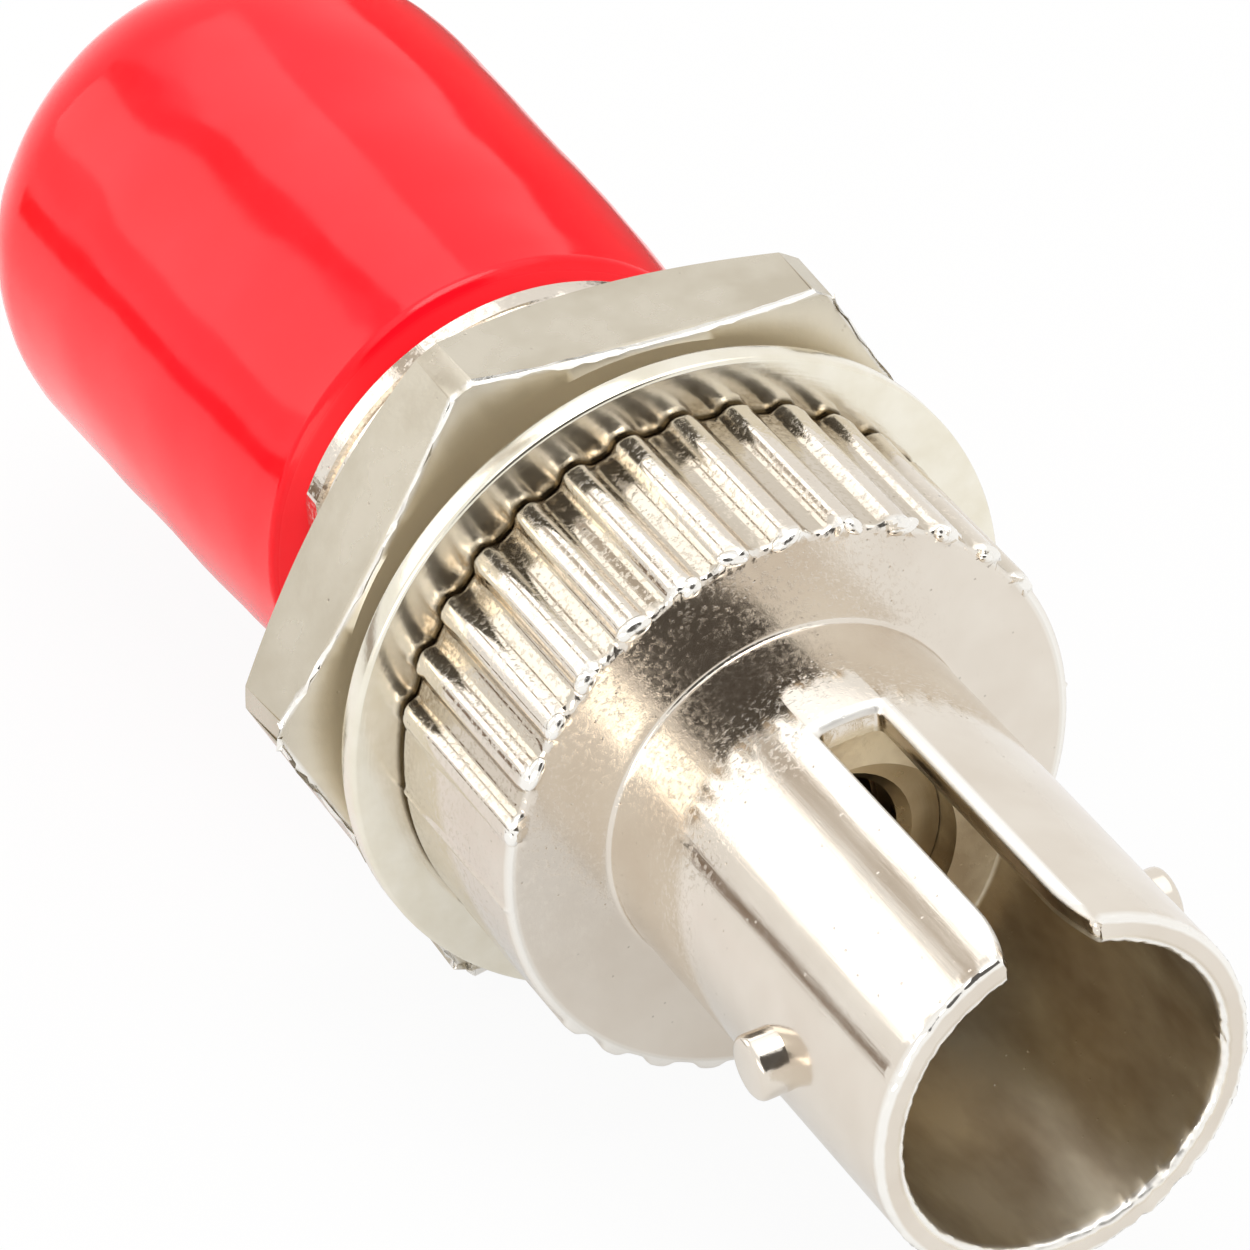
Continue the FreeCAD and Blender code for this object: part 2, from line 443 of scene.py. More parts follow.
def rim_bead(mouth, inward, side):
    """The rounded end of the barrel's rim beside the keyway."""
    clear()
    x = side * (keyway_half + keyway_flare + rim_bead_inset)
    z = math.sqrt(((socket_r + barrel_r) / 2) ** 2 - x ** 2)
    bpy.ops.mesh.primitive_uv_sphere_add(
        segments=32, ring_count=16, radius=rim_bead_r, location=(x, mouth + inward * (rim_bead_r - hair), z))
    bead = started("rim bead")
    lean(bead)
    return bead


def key_and_lugs(piece, mouth, inward):
    """Give a barrel its two lugs, its keyway and the rounded ends of its rim."""
    for side_turn in (0.0, math.pi):
        combine(piece, bayonet_lug(mouth, inward, side_turn), "UNION")
    combine(piece, keyway_cutter(mouth, inward), "DIFFERENCE")
    for side in (-1, 1):
        combine(piece, rim_bead(mouth, inward, side), "UNION")


def screw_thread():
    """The shank's right-handed thread, swept from its outline and trimmed at both ends."""
    flank = thread_depth * math.tan(thread_flank)
    root = thread_pitch - thread_crest - 2 * flank
    thread = point("screw thread", (thread_r, thread_start - 2 * thread_pitch, 0))
    groove = ((0, thread_crest), (-thread_depth, flank), (0, root), (thread_depth, flank))
    for out, forward in groove * thread_turns:
        extrude((out, forward, 0))
    done()
    sweep = thread.modifiers.new("sweep", "SCREW")
    sweep.axis = "Y"
    sweep.angle = 2 * math.pi
    sweep.screw_offset = thread_pitch
    sweep.steps = thread_steps
    sweep.render_steps = thread_steps
    bpy.ops.object.modifier_apply(modifier="sweep")
    open_up()
    bpy.ops.mesh.remove_doubles(threshold=thread_weld_gap)
    bpy.ops.mesh.bisect(plane_co=(0, thread_start, 0), plane_no=(0, 1, 0), clear_inner=True, threshold=1e-5)
    bpy.ops.mesh.select_all(action="SELECT")
    bpy.ops.mesh.bisect(plane_co=(0, thread_end, 0), plane_no=(0, 1, 0), clear_outer=True, threshold=1e-5)
    done()
    return thread


def rib_column(place):
    """Number of the flange's column at a place, counted from the first rib's angle."""
    turn = math.degrees(math.atan2(place.z, place.x)) - rib_phase
    return round(turn * flange_columns / 360) % flange_columns


def from_crest(column, ribs):
    """Columns from the nearest crest of the upper or the lower ribs, or nothing beside those ribs."""
    first, last = [round(rib * rib_columns) for rib in ribs]
    if first - rib_shoulder <= column <= last + rib_shoulder:
        return abs((column - first + rib_columns // 2) % rib_columns - rib_columns // 2)
    return None


def side_depth(column):
    """How far the flange's side lies under the crests: ribs above and below, plain at the mould's parting."""
    upper = from_crest(column, upper_ribs)
    if upper is not None:
        return rib_hollows.get(upper, 0.0)
    lower = from_crest(column, lower_ribs)
    if lower is not None:
        return lower_rib_share * rib_hollows.get(lower, 0.0)
    if column in parting_columns:
        return plain_side_drop - parting_rise
    return plain_side_drop


def knurled_flange():
    """The flange, its side cut to ribs and its front edge drawn forward at the upper ribs."""
    outline = [(flange_face_r, flange_front)]
    outline += [(radius, flange_front + back) for radius, back in flange_front_edge]
    outline += [(flange_r, station) for station in flange_side_rows]
    outline += flange_rear_edge + [(thread_r, 0.0), (thread_r, thread_start - seam_gap)]
    flange = turned("flange", outline, flange_columns, math.radians(90 - rib_phase))
    depths = [side_depth(column) for column in range(flange_columns)]
    cut = {}
    for vertex in flange.data.vertices:
        depth = depths[rib_column(vertex.co)]
        if across(vertex.co) > ribbed_r and depth > 0:
            cut.setdefault(depth, set()).add(tuple(vertex.co))
    for depth, places in cut.items():
        pick(flange, lambda place: tuple(place) in places)
        inward = 1 - depth / flange_r
        bpy.ops.transform.resize(value=(inward, 1, inward), center_override=(0, 0, 0))
        done()

    def on_lip(place):
        offset = from_crest(rib_column(place), upper_ribs)
        crest = offset is not None and offset < lip_columns
        return crest and across(place) > lip_r and place.y < flange_front + lip_depth

    pick(flange, on_lip)
    bpy.ops.transform.translate(value=(0, -rib_lip, 0))
    done()
    return flange


def varied(measure, rib):
    """A measure of a rib's burr, which differs a little from rib to rib."""
    middle, swing, rate = measure
    return middle + swing * math.sin(rate * rib)


def rib_beads(body):
    """The rounded burrs that hang over the flange's front face at the end of the upper ribs."""
    clear()
    bpy.ops.mesh.primitive_uv_sphere_add(segments=20, ring_count=12, radius=rib_bead, location=(0, 0, 0))
    pattern = bpy.context.object
    pattern.name = "rib bead"
    beads = []
    for rib in range(upper_ribs[0], upper_ribs[1] + 1):
        bead = pattern.copy()
        bead.data = pattern.data.copy()
        scene.collection.objects.link(bead)
        turn = math.radians(rib_phase + rib * 360 / rib_count + varied(bead_turn, rib))
        worn = min(1.0, bead_least + bead_growth * (rib - upper_ribs[0]))
        reach = flange_r - bead_worn_sink * (1 - worn) + varied(bead_reach, rib)
        station = flange_front + varied(bead_station, rib)
        bead.location = (reach * math.cos(turn), station, reach * math.sin(turn))
        bead.rotation_euler = (0, math.pi / 2 - turn + varied(bead_tilt, rib), 0)
        shape = (varied(bead_width, rib), bead_length, varied(bead_height, rib))
        bead.scale = [worn * share for share in shape]
        take(bead)
        settle()
        beads.append(bead)
    bpy.data.objects.remove(pattern, do_unlink=True)
    join(beads, body)


def make_body(surface):
    """Front barrel, knurled flange and threaded shank, cast in one piece."""
    outline = [(thread_r, thread_end + seam_gap), (thread_r, shank_end - shank_end_chamfer),
               (shank_tip_r, shank_end), (spigot_bore_r, shank_end), (spigot_bore_r, spigot_front),
               (holder_bore_r, spigot_front), (holder_bore_r, front_shoulder),
               (socket_r - shoulder_round, front_shoulder)]
    outline += arc((socket_r - shoulder_round, front_shoulder - shoulder_round), shoulder_round, 90, 0, 3)
    outline += [(socket_r, front_mouth + lug_setback), (socket_r, front_mouth + edge_row)]
    outline += arc((socket_r + socket_lead, front_mouth + socket_lead), socket_lead, 180, 270, 4)
    outline += arc((barrel_r - rim_round, front_mouth + rim_round), rim_round, 270, 360, 5)
    outline += [(barrel_r, front_mouth + back) for back in (edge_row, *lug_rows)]
    outline += [(barrel_r, flange_front - edge_row)]
    outline += arc((barrel_r + root_fillet, flange_front - root_fillet), root_fillet, 180, 90, 5)
    outline += [(face_root_r, flange_front), (face_seam_r, flange_front)]
    body = turned("coupler_body", outline, barrel_columns)
    flange = knurled_flange()
    join([screw_thread(), flange], body)

    def near(place, radius, station):
        return abs(across(place) - radius) < seam_reach and abs(place.y - station) < seam_reach

    def level(place, station):
        return abs(place.y - station) < weld_gap

    seams = [
        lambda place: near(place, face_seam_r, flange_front) or near(place, flange_face_r, flange_front),
        lambda place: near(place, thread_r, thread_start - seam_gap) or level(place, thread_start),
        lambda place: level(place, thread_end) or near(place, thread_r, thread_end + seam_gap),
    ]
    for seam in seams:
        pick(body, seam)
        bpy.ops.mesh.bridge_edge_loops()
        done()
    close_up(body)

    def upper_rib(place):
        return from_crest(rib_column(place), upper_ribs) is not None and across(place) > burr_r

    def rib_front(place):
        return upper_rib(place) and place.y < flange_front + burr_depth

    def rib_rear(place):
        return upper_rib(place) and rib_rear_band[0] < place.y < rib_rear_band[1]

    def at_mouth(place):
        return place.y < front_mouth + mouth_burr_depth

    def chipped(place):
        return at_mouth(place) and place.x > mouth_chips_right_of and place.z < mouth_chips_below

    roughen(body, "rib burr", grain=0.30, amount=0.22, test=rib_front)
    roughen(body, "rib ends", grain=0.25, amount=0.12, test=rib_rear)
    roughen(body, "mouth burr", grain=0.22, amount=0.09, test=at_mouth)
    roughen(body, "mouth chips", grain=0.30, amount=0.16, test=chipped)
    key_and_lugs(body, front_mouth, 1)
    clear()
    bpy.ops.mesh.primitive_cube_add(
        size=1, location=(-shank_flat - flat_block[0] / 2, flat_start + flat_block[1] / 2, 0))
    flat = bpy.context.object
    flat.scale = flat_block
    settle()
    lean(flat)
    combine(body, flat, "DIFFERENCE")
    rib_beads(body)
    finish(body, 38, "coupler", "body", surface)


def make_rear_barrel(surface):
    """Rear barrel with its ferrule guide, on the spigot that is pressed into the shank."""
    outline = [(holder_bore_r, spigot_front), (spigot_r, spigot_front),
               (spigot_r, shank_end), (barrel_r, shank_end)]
    outline += [(barrel_r, rear_mouth - back) for back in reversed(lug_rows)]
    outline += arc((barrel_r - rim_round, rear_mouth - rim_round), rim_round, 0, 90, 5)
    outline += arc((socket_r + socket_lead, rear_mouth - socket_lead), socket_lead, 90, 180, 4)
    outline += [(socket_r, rear_mouth - lug_setback)]
    outline += arc((socket_r - shoulder_round, rear_shoulder + shoulder_round), shoulder_round, 0, -90, 3)
    outline += [(holder_bore_r, rear_shoulder), (holder_bore_r, rear_guide),
                (guide_r + guide_chamfer, rear_guide), (guide_r, rear_guide - guide_chamfer),
                (guide_r, rear_web), (holder_bore_r, rear_web), (holder_bore_r, spigot_front)]
    barrel = turned("rear_barrel_skin", outline, rear_barrel_columns)
    close_up(barrel)
    key_and_lugs(barrel, rear_mouth, -1)
    finish(barrel, 38, "coupler", "rear_barrel", surface)


def make_washer(surface):
    """Plain flat washer with rolled edges."""
    b = washer_round
    outline = arc((washer_hole_r + b, b), b, 180, 270, 3) + arc((washer_r - b, b), b, 270, 360, 4)
    outline += arc((washer_r - b, washer_thickness - b), b, 0, 90, 4)
    outline += arc((washer_hole_r + b, washer_thickness - b), b, 90, 180, 3)
    washer = turned("flat_washer", outline + outline[:1], washer_columns)
    finish(washer, 45, "washer", "washer", surface)


def make_nut(surface):
    """Hexagon panel nut, bevelled on both faces, lying on one of its flats."""
    clear()
    bpy.ops.mesh.primitive_cylinder_add(
        vertices=6, radius=2 * nut_flat_r / math.sqrt(3), depth=nut_rear - nut_front,
        location=(0, (nut_front + nut_rear) / 2, 0), rotation=(math.pi / 2, math.pi / 6, 0))
    nut = started("hexagon_nut")
    front_bevel = (nut_corner_r - nut_land_r) * nut_front_slope
    rear_bevel = (nut_corner_r - nut_land_r) * nut_rear_slope
    bore_edge_r = nut_bore_r + nut_bore_chamfer
    outline = [(bore_edge_r, nut_front - hair), (nut_land_r, nut_front - hair), (nut_land_r, nut_front),
               (nut_corner_r, nut_front + front_bevel), (nut_corner_r, nut_rear - rear_bevel),
               (nut_land_r, nut_rear), (nut_land_r, nut_rear + hair), (bore_edge_r, nut_rear + hair),
               (nut_bore_r, nut_rear - nut_bore_chamfer), (nut_bore_r, nut_front + nut_bore_chamfer),
               (bore_edge_r, nut_front - hair)]
    bevelled = turned("bevelled round", outline, nut_columns)
    close_up(bevelled)
    combine(nut, bevelled, "INTERSECT")
    close_up(nut)
    take(nut)
    edges = nut.modifiers.new("edges", "BEVEL")
    edges.width = nut_edge
    edges.segments = 3
    edges.limit_method = "ANGLE"
    edges.angle_limit = nut_edge_angle
    bpy.ops.object.modifier_apply(modifier="edges")
    turns = [math.radians(30 + 60 * side) for side in range(6)]

    def front_edge(place):
        reach = max(place.x * math.cos(turn) + place.z * math.sin(turn) for turn in turns)
        return nut_front + hair < place.y < nut_front + nut_worn_depth and reach > nut_flat_r - nut_worn_reach

    roughen(nut, "worn edges", grain=0.22, amount=0.20, test=front_edge, level=0.9)
    pick(nut, lambda place: place.y < nut_front)
    bpy.ops.transform.resize(value=(1, 0, 1), center_override=(0, nut_front, 0))
    done()
    finish(nut, 30, "nut", "hex_nut", surface)


def crown(radius, shoulder, height, base):
    """Outline of a cap's closed end, from near the axis out to its side."""
    inset = radius - shoulder
    turn = 90 - 2 * math.degrees(math.atan((height - shoulder) / inset))
    crown_r = shoulder + inset / math.cos(math.radians(turn))
    top = arc((0, base + height - crown_r), crown_r, cap_pole, turn, cap_dome_rows)
    return top + arc((inset, base), shoulder, turn, 0, cap_dome_rows)[1:]


def make_cap(surface):
    """Dipped vinyl cap, a little uneven, its side drawn in a curve from the dome to the lip."""
    outline = crown(cap_r, cap_shoulder, cap_dome, cap_dome_base)
    low = cap_mouth + cap_lip_slope + cap_lip_crest
    middle = (cap_mouth + cap_dome_base) / 2
    for row in range(1, cap_side_rows):
        y = cap_dome_base + (low - cap_dome_base) * row / cap_side_rows
        of_base = (y - middle) * (y - low) / ((cap_dome_base - middle) * (cap_dome_base - low))
        of_waist = (y - cap_dome_base) * (y - low) / ((middle - cap_dome_base) * (middle - low))
        of_lip = (y - cap_dome_base) * (y - middle) / ((low - cap_dome_base) * (low - middle))
        outline.append((of_base * cap_r + of_waist * cap_waist_r + of_lip * cap_lip_r, y))
    crest = arc((cap_lip_r - cap_lip_crest, low), cap_lip_crest, 0, -45, 8)
    crest_r, crest_y = crest[-1]
    slope = [(crest_r - share * cap_lip_slope, crest_y - share * cap_lip_slope) for share in cap_slope_rows]
    outline += [(cap_lip_r, low + cap_lip_row)] + crest + slope
    outline += [(cap_bore_r + cap_bore_chamfer, cap_mouth), (cap_bore_r, cap_mouth + cap_bore_chamfer)]
    inner = crown(cap_bore_r, cap_inner_shoulder, cap_dome - cap_end_wall, cap_dome_base)
    outline += list(reversed(inner))
    cap = turned("vinyl_cap", outline, cap_columns)
    for end in (outline[0], outline[-1]):
        pick(cap, lambda place: across(place) < cap_pole_r and abs(place.y - end[1]) < hair)
        bpy.ops.mesh.edge_face_add()
        done()

    def outside(place):
        return across(place) > cap_bore_r + cap_skin_inset or place.y > cap_dome_base + cap_skin_height

    roughen(cap, "uneven skin", grain=3.6, amount=0.15, test=outside)
    take(cap)
    cap.location = (cap_askew * cap_askew_sideways * cap_askew_shift, cap_setback,
                    cap_askew * cap_askew_upwards * cap_askew_shift)
    cap.rotation_euler = (-cap_askew_upwards * cap_askew, 0, cap_askew_sideways * cap_askew)
    settle()
    finish(cap, 50, "cap", "dust_cap", surface)


# Ranges of a clouded pattern: the part that tells in the colour, and the part that tells in the gloss.
mottle = (0.35, 0.65)
haze = (0.3, 0.7)


def new_surface(name):
    """An empty material with its shader."""
    surface = bpy.data.materials.new(name)
    surface.use_nodes = True
    tree = surface.node_tree
    shader = tree.nodes["Principled BSDF"]
    return surface, tree, shader


def matt(name, shade, roughness):
    """A dull surface of one colour."""
    surface, tree, shader = new_surface(name)
    shader.inputs["Base Color"].default_value = (*shade, 1)
    shader.inputs["Roughness"].default_value = roughness
    shader.inputs["Specular IOR Level"].default_value = 0.0
    return surface, tree, shader


def add(tree, kind, values=None, **settings):
    """Add a node; a value is a number, a colour or the output socket that feeds it."""
    made = tree.nodes.new(kind)
    for key, value in settings.items():
        setattr(made, key, value)
    for key, value in (values or {}).items():
        if isinstance(value, bpy.types.NodeSocket):
            tree.links.new(value, made.inputs[key])
        else:
            made.inputs[key].default_value = value
    return made


def place_mm(tree, stretch=(1, 1, 1)):
    """Place on the piece in millimetres, stretched where a pattern runs one way."""
    coordinates = add(tree, "ShaderNodeTexCoord").outputs["Object"]
    scale = [1000 * factor for factor in stretch]
    return add(tree, "ShaderNodeMapping", {"Vector": coordinates, "Scale": scale}).outputs["Vector"]


def noise(tree, place, scale, detail=3.0, roughness=0.55):
    """A clouded pattern, with its fineness per millimetre."""
    values = {"Vector": place, "Scale": scale, "Detail": detail, "Roughness": roughness}
    return add(tree, "ShaderNodeTexNoise", values).outputs["Fac"]


def spread(tree, value, low, high, to_low=0.0, to_high=1.0):
    """Map a range of values onto another, held at its ends."""
    values = {"Value": value, "From Min": low, "From Max": high, "To Min": to_low, "To Max": to_high}
    return add(tree, "ShaderNodeMapRange", values).outputs["Result"]


def fade(tree, value, low, high):
    """One up to the low end of a range, falling to nothing at its high end."""
    return spread(tree, value, low, high, 1.0, 0.0)


def maths(tree, operation, a, b=0.0):
    """Two values put together by one operation."""
    return add(tree, "ShaderNodeMath", {0: a, 1: b}, operation=operation).outputs[0]


def product(tree, first, *others):
    """Values multiplied with each other, so that a mask holds only where all of them do."""
    for other in others:
        first = maths(tree, "MULTIPLY", first, other)
    return first


def blend(tree, factor, here, there):
    """Number between two, by a factor."""
    return add(tree, "ShaderNodeMix", {0: factor, 2: here, 3: there}, data_type="FLOAT").outputs[0]


def tint(tree, factor, dull, bright):
    """Colour between two, by a factor."""
    mixed = add(tree, "ShaderNodeMix", {"Factor": factor}, data_type="RGBA")
    for socket, colour in ((mixed.inputs[6], dull), (mixed.inputs[7], bright)):
        if isinstance(colour, bpy.types.NodeSocket):
            tree.links.new(colour, socket)
        else:
            socket.default_value = (*colour, 1)
    return mixed.outputs[2]


def relief(tree, height, distance_mm, strength=1.0, under=None):
    """Small relief of a surface, its depth in millimetres."""
    values = {"Height": height, "Distance": distance_mm / 1000, "Strength": strength}
    if under is not None:
        values["Normal"] = under
    return add(tree, "ShaderNodeBump", values).outputs["Normal"]


def along(tree, place, direction):
    """How far a place lies along a direction."""
    values = {0: place, 1: direction}
    return add(tree, "ShaderNodeVectorMath", values, operation="DOT_PRODUCT").outputs["Value"]


def from_axis(tree, place):
    """Distance from the coupler's axis in millimetres, and the station along it."""
    flat = add(tree, "ShaderNodeVectorMath", {0: place, 1: (1, 0, 1)}, operation="MULTIPLY").outputs["Vector"]
    radius = add(tree, "ShaderNodeVectorMath", {0: flat}, operation="LENGTH").outputs["Value"]
    station = add(tree, "ShaderNodeSeparateXYZ", {"Vector": place}).outputs["Y"]
    return radius, station


def pits(tree, place, scale, small, large):
    """Scattered pits: nothing in a pit's middle, one beside it."""
    cells = add(tree, "ShaderNodeTexVoronoi", {"Vector": place, "Scale": scale, "Randomness": 1.0})
    return spread(tree, cells.outputs["Distance"], small, large)


def turned_lines(tree, radius, station, fine_out, fine_along):
    """Fine lines round the axis, as the lathe leaves them."""
    values = {"X": product(tree, radius, fine_out), "Y": product(tree, station, fine_along)}
    return noise(tree, add(tree, "ShaderNodeCombineXYZ", values).outputs["Vector"], 1.0)


def dress(tree, shader, colour, roughness, normal, metallic=1.0):
    """Give a shader its colour, roughness and relief."""
    tree.links.new(colour, shader.inputs["Base Color"])
    tree.links.new(roughness, shader.inputs["Roughness"])
    tree.links.new(normal, shader.inputs["Normal"])
    shader.inputs["Metallic"].default_value = metallic


def cast_nickel(name):
    """Satin nickel on a casting: grainy on the flange, smoother along the barrel, dull in the socket."""
    plating = ((0.75, 0.68, 0.595), (0.81, 0.75, 0.67))
    socket_plating = ((0.58, 0.49, 0.37), (0.90, 0.83, 0.68))
    # Painted shade: darker brown for the rib valleys.
    hollow_shade_brown = (0.56, 0.49, 0.39)
    # Painted shade: dark brown for the rear ends of the rib valleys next to the washer.
    rear_valley_shade_brown = (0.32, 0.25, 0.17)
    pit_brown = (0.34, 0.30, 0.24)
    # Painted contact shadow: near black brown for the line where the flange meets the washer.
    flange_contact_shadow_brown = (0.10, 0.075, 0.045)
    # Painted highlight: near white for edges that catch the light.
    edge_highlight_white = (0.95, 0.93, 0.89)
    worn_roughness = 0.42
    surface, tree, shader = new_surface(name)
    place = place_mm(tree)
    radius, station = from_axis(tree, place)
    upright = add(tree, "ShaderNodeSeparateXYZ", {"Vector": place}).outputs["Z"]
    across_key = along(tree, place, (math.cos(key_lean), 0, -math.sin(key_lean)))
    cloud = noise(tree, place, 0.45)
    grain = noise(tree, place, 9.0, 5, 0.65)
    fine = noise(tree, place, 30.0, 3, 0.6)
    drawn_lines = noise(tree, place_mm(tree, (9, 0.5, 9)), 1.0, 4, 0.6)
    streaks = noise(tree, place_mm(tree, (1, 0.4, 1)), 0.6, 4)
    pit = pits(tree, place, 3.2, 0.04, 0.10)

    cast = spread(tree, station, front_shoulder - 1.4, front_shoulder)
    socket = fade(tree, radius, socket_r + 0.065, socket_r + 0.185)
    # Painted shade: the rib valleys, between the crests, are tinted darker and browner.
    hollow = product(tree, fade(tree, radius, flange_r - 0.19, flange_r - 0.03),
                     spread(tree, radius, flange_r - 0.25, flange_r - 0.21))
    # Painted highlight: the ribs' front edges (lip) and the mouth rim's rounded edges (rim) are painted near
    # white.
    lip = product(tree, fade(tree, station, flange_front - 0.01, flange_front + 0.13),
                  spread(tree, radius, flange_r - 0.29, flange_r - 0.19))
    edge = maths(tree, "MAXIMUM", fade(tree, radius, socket_r + 0.085, socket_r + 0.135),
                 spread(tree, radius, barrel_r - 0.14, barrel_r - 0.09))
    rim = product(tree, fade(tree, station, front_mouth + 0.08, front_mouth + 0.20), edge)
    # Painted shade: the rib valleys darken towards their rear ends beside the washer, broken up by the grain.
    rear_valley_shade = product(tree, spread(tree, station, -1.5, -0.3),
                         fade(tree, radius, flange_r - 0.15, flange_r - 0.05),
                         spread(tree, radius, flange_r - 0.27, flange_r - 0.23),
                         spread(tree, grain, 0.35, 0.6, 0.3, 1.0))
    from_key = maths(tree, "ABSOLUTE", across_key)
    # Painted highlight: the keyway's broken edges on the upper barrel are painted near white; the same mask
    # makes them rougher.
    key_edge = product(tree, fade(tree, from_key, keyway_half + 0.20, keyway_half + 0.28),
                       fade(tree, station, front_shoulder - 0.22, front_shoulder - 0.16),
                       spread(tree, radius, barrel_r - 0.19, barrel_r - 0.13),
                       spread(tree, upright, 1.0, 2.0))
    # Painted contact shadow: a dark band round the body at the flange's rear edge, where it meets the washer.
    seam = product(tree, spread(tree, station, -0.16, -0.06), fade(tree, station, 0.02, 0.03))

    colour = tint(tree, spread(tree, cloud, *mottle), *plating)
    colour = tint(tree, product(tree, hollow, 0.65), colour, hollow_shade_brown)
    colour = tint(tree, product(tree, spread(tree, pit, 0.0, 1.0, 0.45, 0.0), cast), colour, pit_brown)
    colour = tint(tree, socket, colour, tint(tree, spread(tree, streaks, 0.40, 0.62), *socket_plating))
    colour = tint(tree, maths(tree, "MAXIMUM", lip, rim), colour, edge_highlight_white)
    colour = tint(tree, rear_valley_shade, colour, rear_valley_shade_brown)
    colour = tint(tree, key_edge, colour, edge_highlight_white)
    colour = tint(tree, seam, colour, flange_contact_shadow_brown)

    smooth = spread(tree, drawn_lines, *haze, 0.09, 0.17)
    satin = spread(tree, grain, *haze, 0.04, 0.11)
    dull = spread(tree, cloud, *haze, 0.30, 0.42)
    roughness = blend(tree, socket, blend(tree, cast, smooth, satin), dull)
    roughness = blend(tree, key_edge, roughness, worn_roughness)

    coarse = product(tree, spread(tree, cast, 0.0, 1.0, 0.10, 1.0),
                     spread(tree, radius, flange_r - 0.27, flange_r - 0.21, 1.0, 1.3))
    specks = maths(tree, "ADD", spread(tree, grain, 0.54, 0.80), product(tree, fine, 0.2))
    normal = relief(tree, product(tree, specks, coarse), 0.0048, 0.8)
    normal = relief(tree, drawn_lines, 0.003, 0.6, normal)
    normal = relief(tree, pit, 0.008, 0.6, normal)
    dress(tree, shader, colour, roughness, normal)
    return surface


def washer_nickel(name):
    """Bright nickel with fine turned lines, left dull on the rear face."""
    plating = ((0.86, 0.81, 0.68), (0.92, 0.88, 0.77))
    rear_plating = (0.90, 0.83, 0.68)
    rear_roughness = 0.50
    surface, tree, shader = new_surface(name)
    place = place_mm(tree)
    radius, station = from_axis(tree, place)
    cloud = noise(tree, place, 1.3, 4)
    rear = spread(tree, station, washer_thickness - 0.06, washer_thickness - 0.01)
    colour = tint(tree, rear, tint(tree, spread(tree, cloud, *mottle), *plating), rear_plating)
    roughness = blend(tree, rear, spread(tree, cloud, *haze, 0.14, 0.21), rear_roughness)
    normal = relief(tree, turned_lines(tree, radius, station, 16.0, 9.0), 0.002, 0.5)
    normal = relief(tree, cloud, 0.02, 0.4, normal)
    dress(tree, shader, colour, roughness, normal)
    return surface


def nut_nickel(name):
    """Satin nickel on a milled nut, pitted here and there; its front face is left duller, and painted lighter
    and yellower for the light bounced between washer and nut.
    """
    plating = ((0.585, 0.53, 0.43), (0.65, 0.60, 0.505))
    pit_brown = (0.30, 0.25, 0.19)
    front_bounce_lit_plating = (0.86, 0.79, 0.64)
    front_roughness = 0.50
    # Painted highlight: near white for the flats' front edges.
    edge_highlight_white = (0.96, 0.94, 0.90)
    surface, tree, shader = new_surface(name)
    place = place_mm(tree)
    radius, station = from_axis(tree, place)
    cloud = noise(tree, place, 0.7, 4)
    grain = noise(tree, place, 11.0, 4, 0.6)
    milled = noise(tree, place_mm(tree, (1.2, 14, 1.2)), 1.0)
    pit = pits(tree, place, 1.8, 0.03, 0.07)

    # Painted light: the front face and its bevel are coloured lighter and yellower, for the light bounced
    # between the washer and the nut.
    front = fade(tree, station, nut_front + 0.05, nut_front + 0.30)
    slope = product(tree, maths(tree, "SUBTRACT", radius, nut_land_r), -nut_front_slope)
    behind = maths(tree, "ADD", maths(tree, "SUBTRACT", station, nut_front), slope)
    ragged = maths(tree, "ADD", behind, product(tree, grain, 0.10))
    reach = 0.0
    for turn in (math.pi / 6, math.pi / 2, 5 * math.pi / 6):
        across_flats = along(tree, place, (math.cos(turn), 0, math.sin(turn)))
        reach = maths(tree, "MAXIMUM", reach, maths(tree, "ABSOLUTE", across_flats))
    # Painted highlight: a ragged near white line along the front edges of the flats; the same mask also
    # deepens the relief there.
    burr = product(tree, fade(tree, ragged, 0.14, 0.22), spread(tree, reach, nut_land_r, nut_land_r + 0.07))

    colour = tint(tree, spread(tree, cloud, *mottle), *plating)
    colour = tint(tree, spread(tree, pit, 0.0, 1.0, 0.55, 0.0), colour, pit_brown)
    colour = tint(tree, front, colour, front_bounce_lit_plating)
    colour = tint(tree, burr, colour, edge_highlight_white)
    roughness = blend(tree, front, spread(tree, cloud, *haze, 0.20, 0.30), front_roughness)
    normal = relief(tree, product(tree, grain, spread(tree, burr, 0.0, 1.0, 1.0, 6.0)), 0.004, 0.5)
    normal = relief(tree, milled, 0.003, 0.5, normal)
    normal = relief(tree, pit, 0.010, 0.6, normal)
    dress(tree, shader, colour, roughness, normal)
    return surface


def red_vinyl(name):
    """Glossy dipped vinyl, dull at the mouth's slope."""
    reds = ((0.95, 0.001, 0.008), (0.98, 0.003, 0.014))
    mouth_roughness = 0.45
    surface, tree, shader = new_surface(name)
    place = place_mm(tree)
    station = from_axis(tree, place)[1]
    cloud = noise(tree, place, 0.25)
    peel = noise(tree, place, 1.4)
    mouth = fade(tree, station, cap_mouth + 0.34, cap_mouth + 0.46)
    colour = tint(tree, spread(tree, cloud, *haze), *reds)
    roughness = blend(tree, mouth, spread(tree, peel, *haze, 0.09, 0.15), mouth_roughness)
    dress(tree, shader, colour, roughness, relief(tree, peel, 0.008, 0.5), metallic=0.0)
    shader.inputs["Specular IOR Level"].default_value = 0.31
    return surface


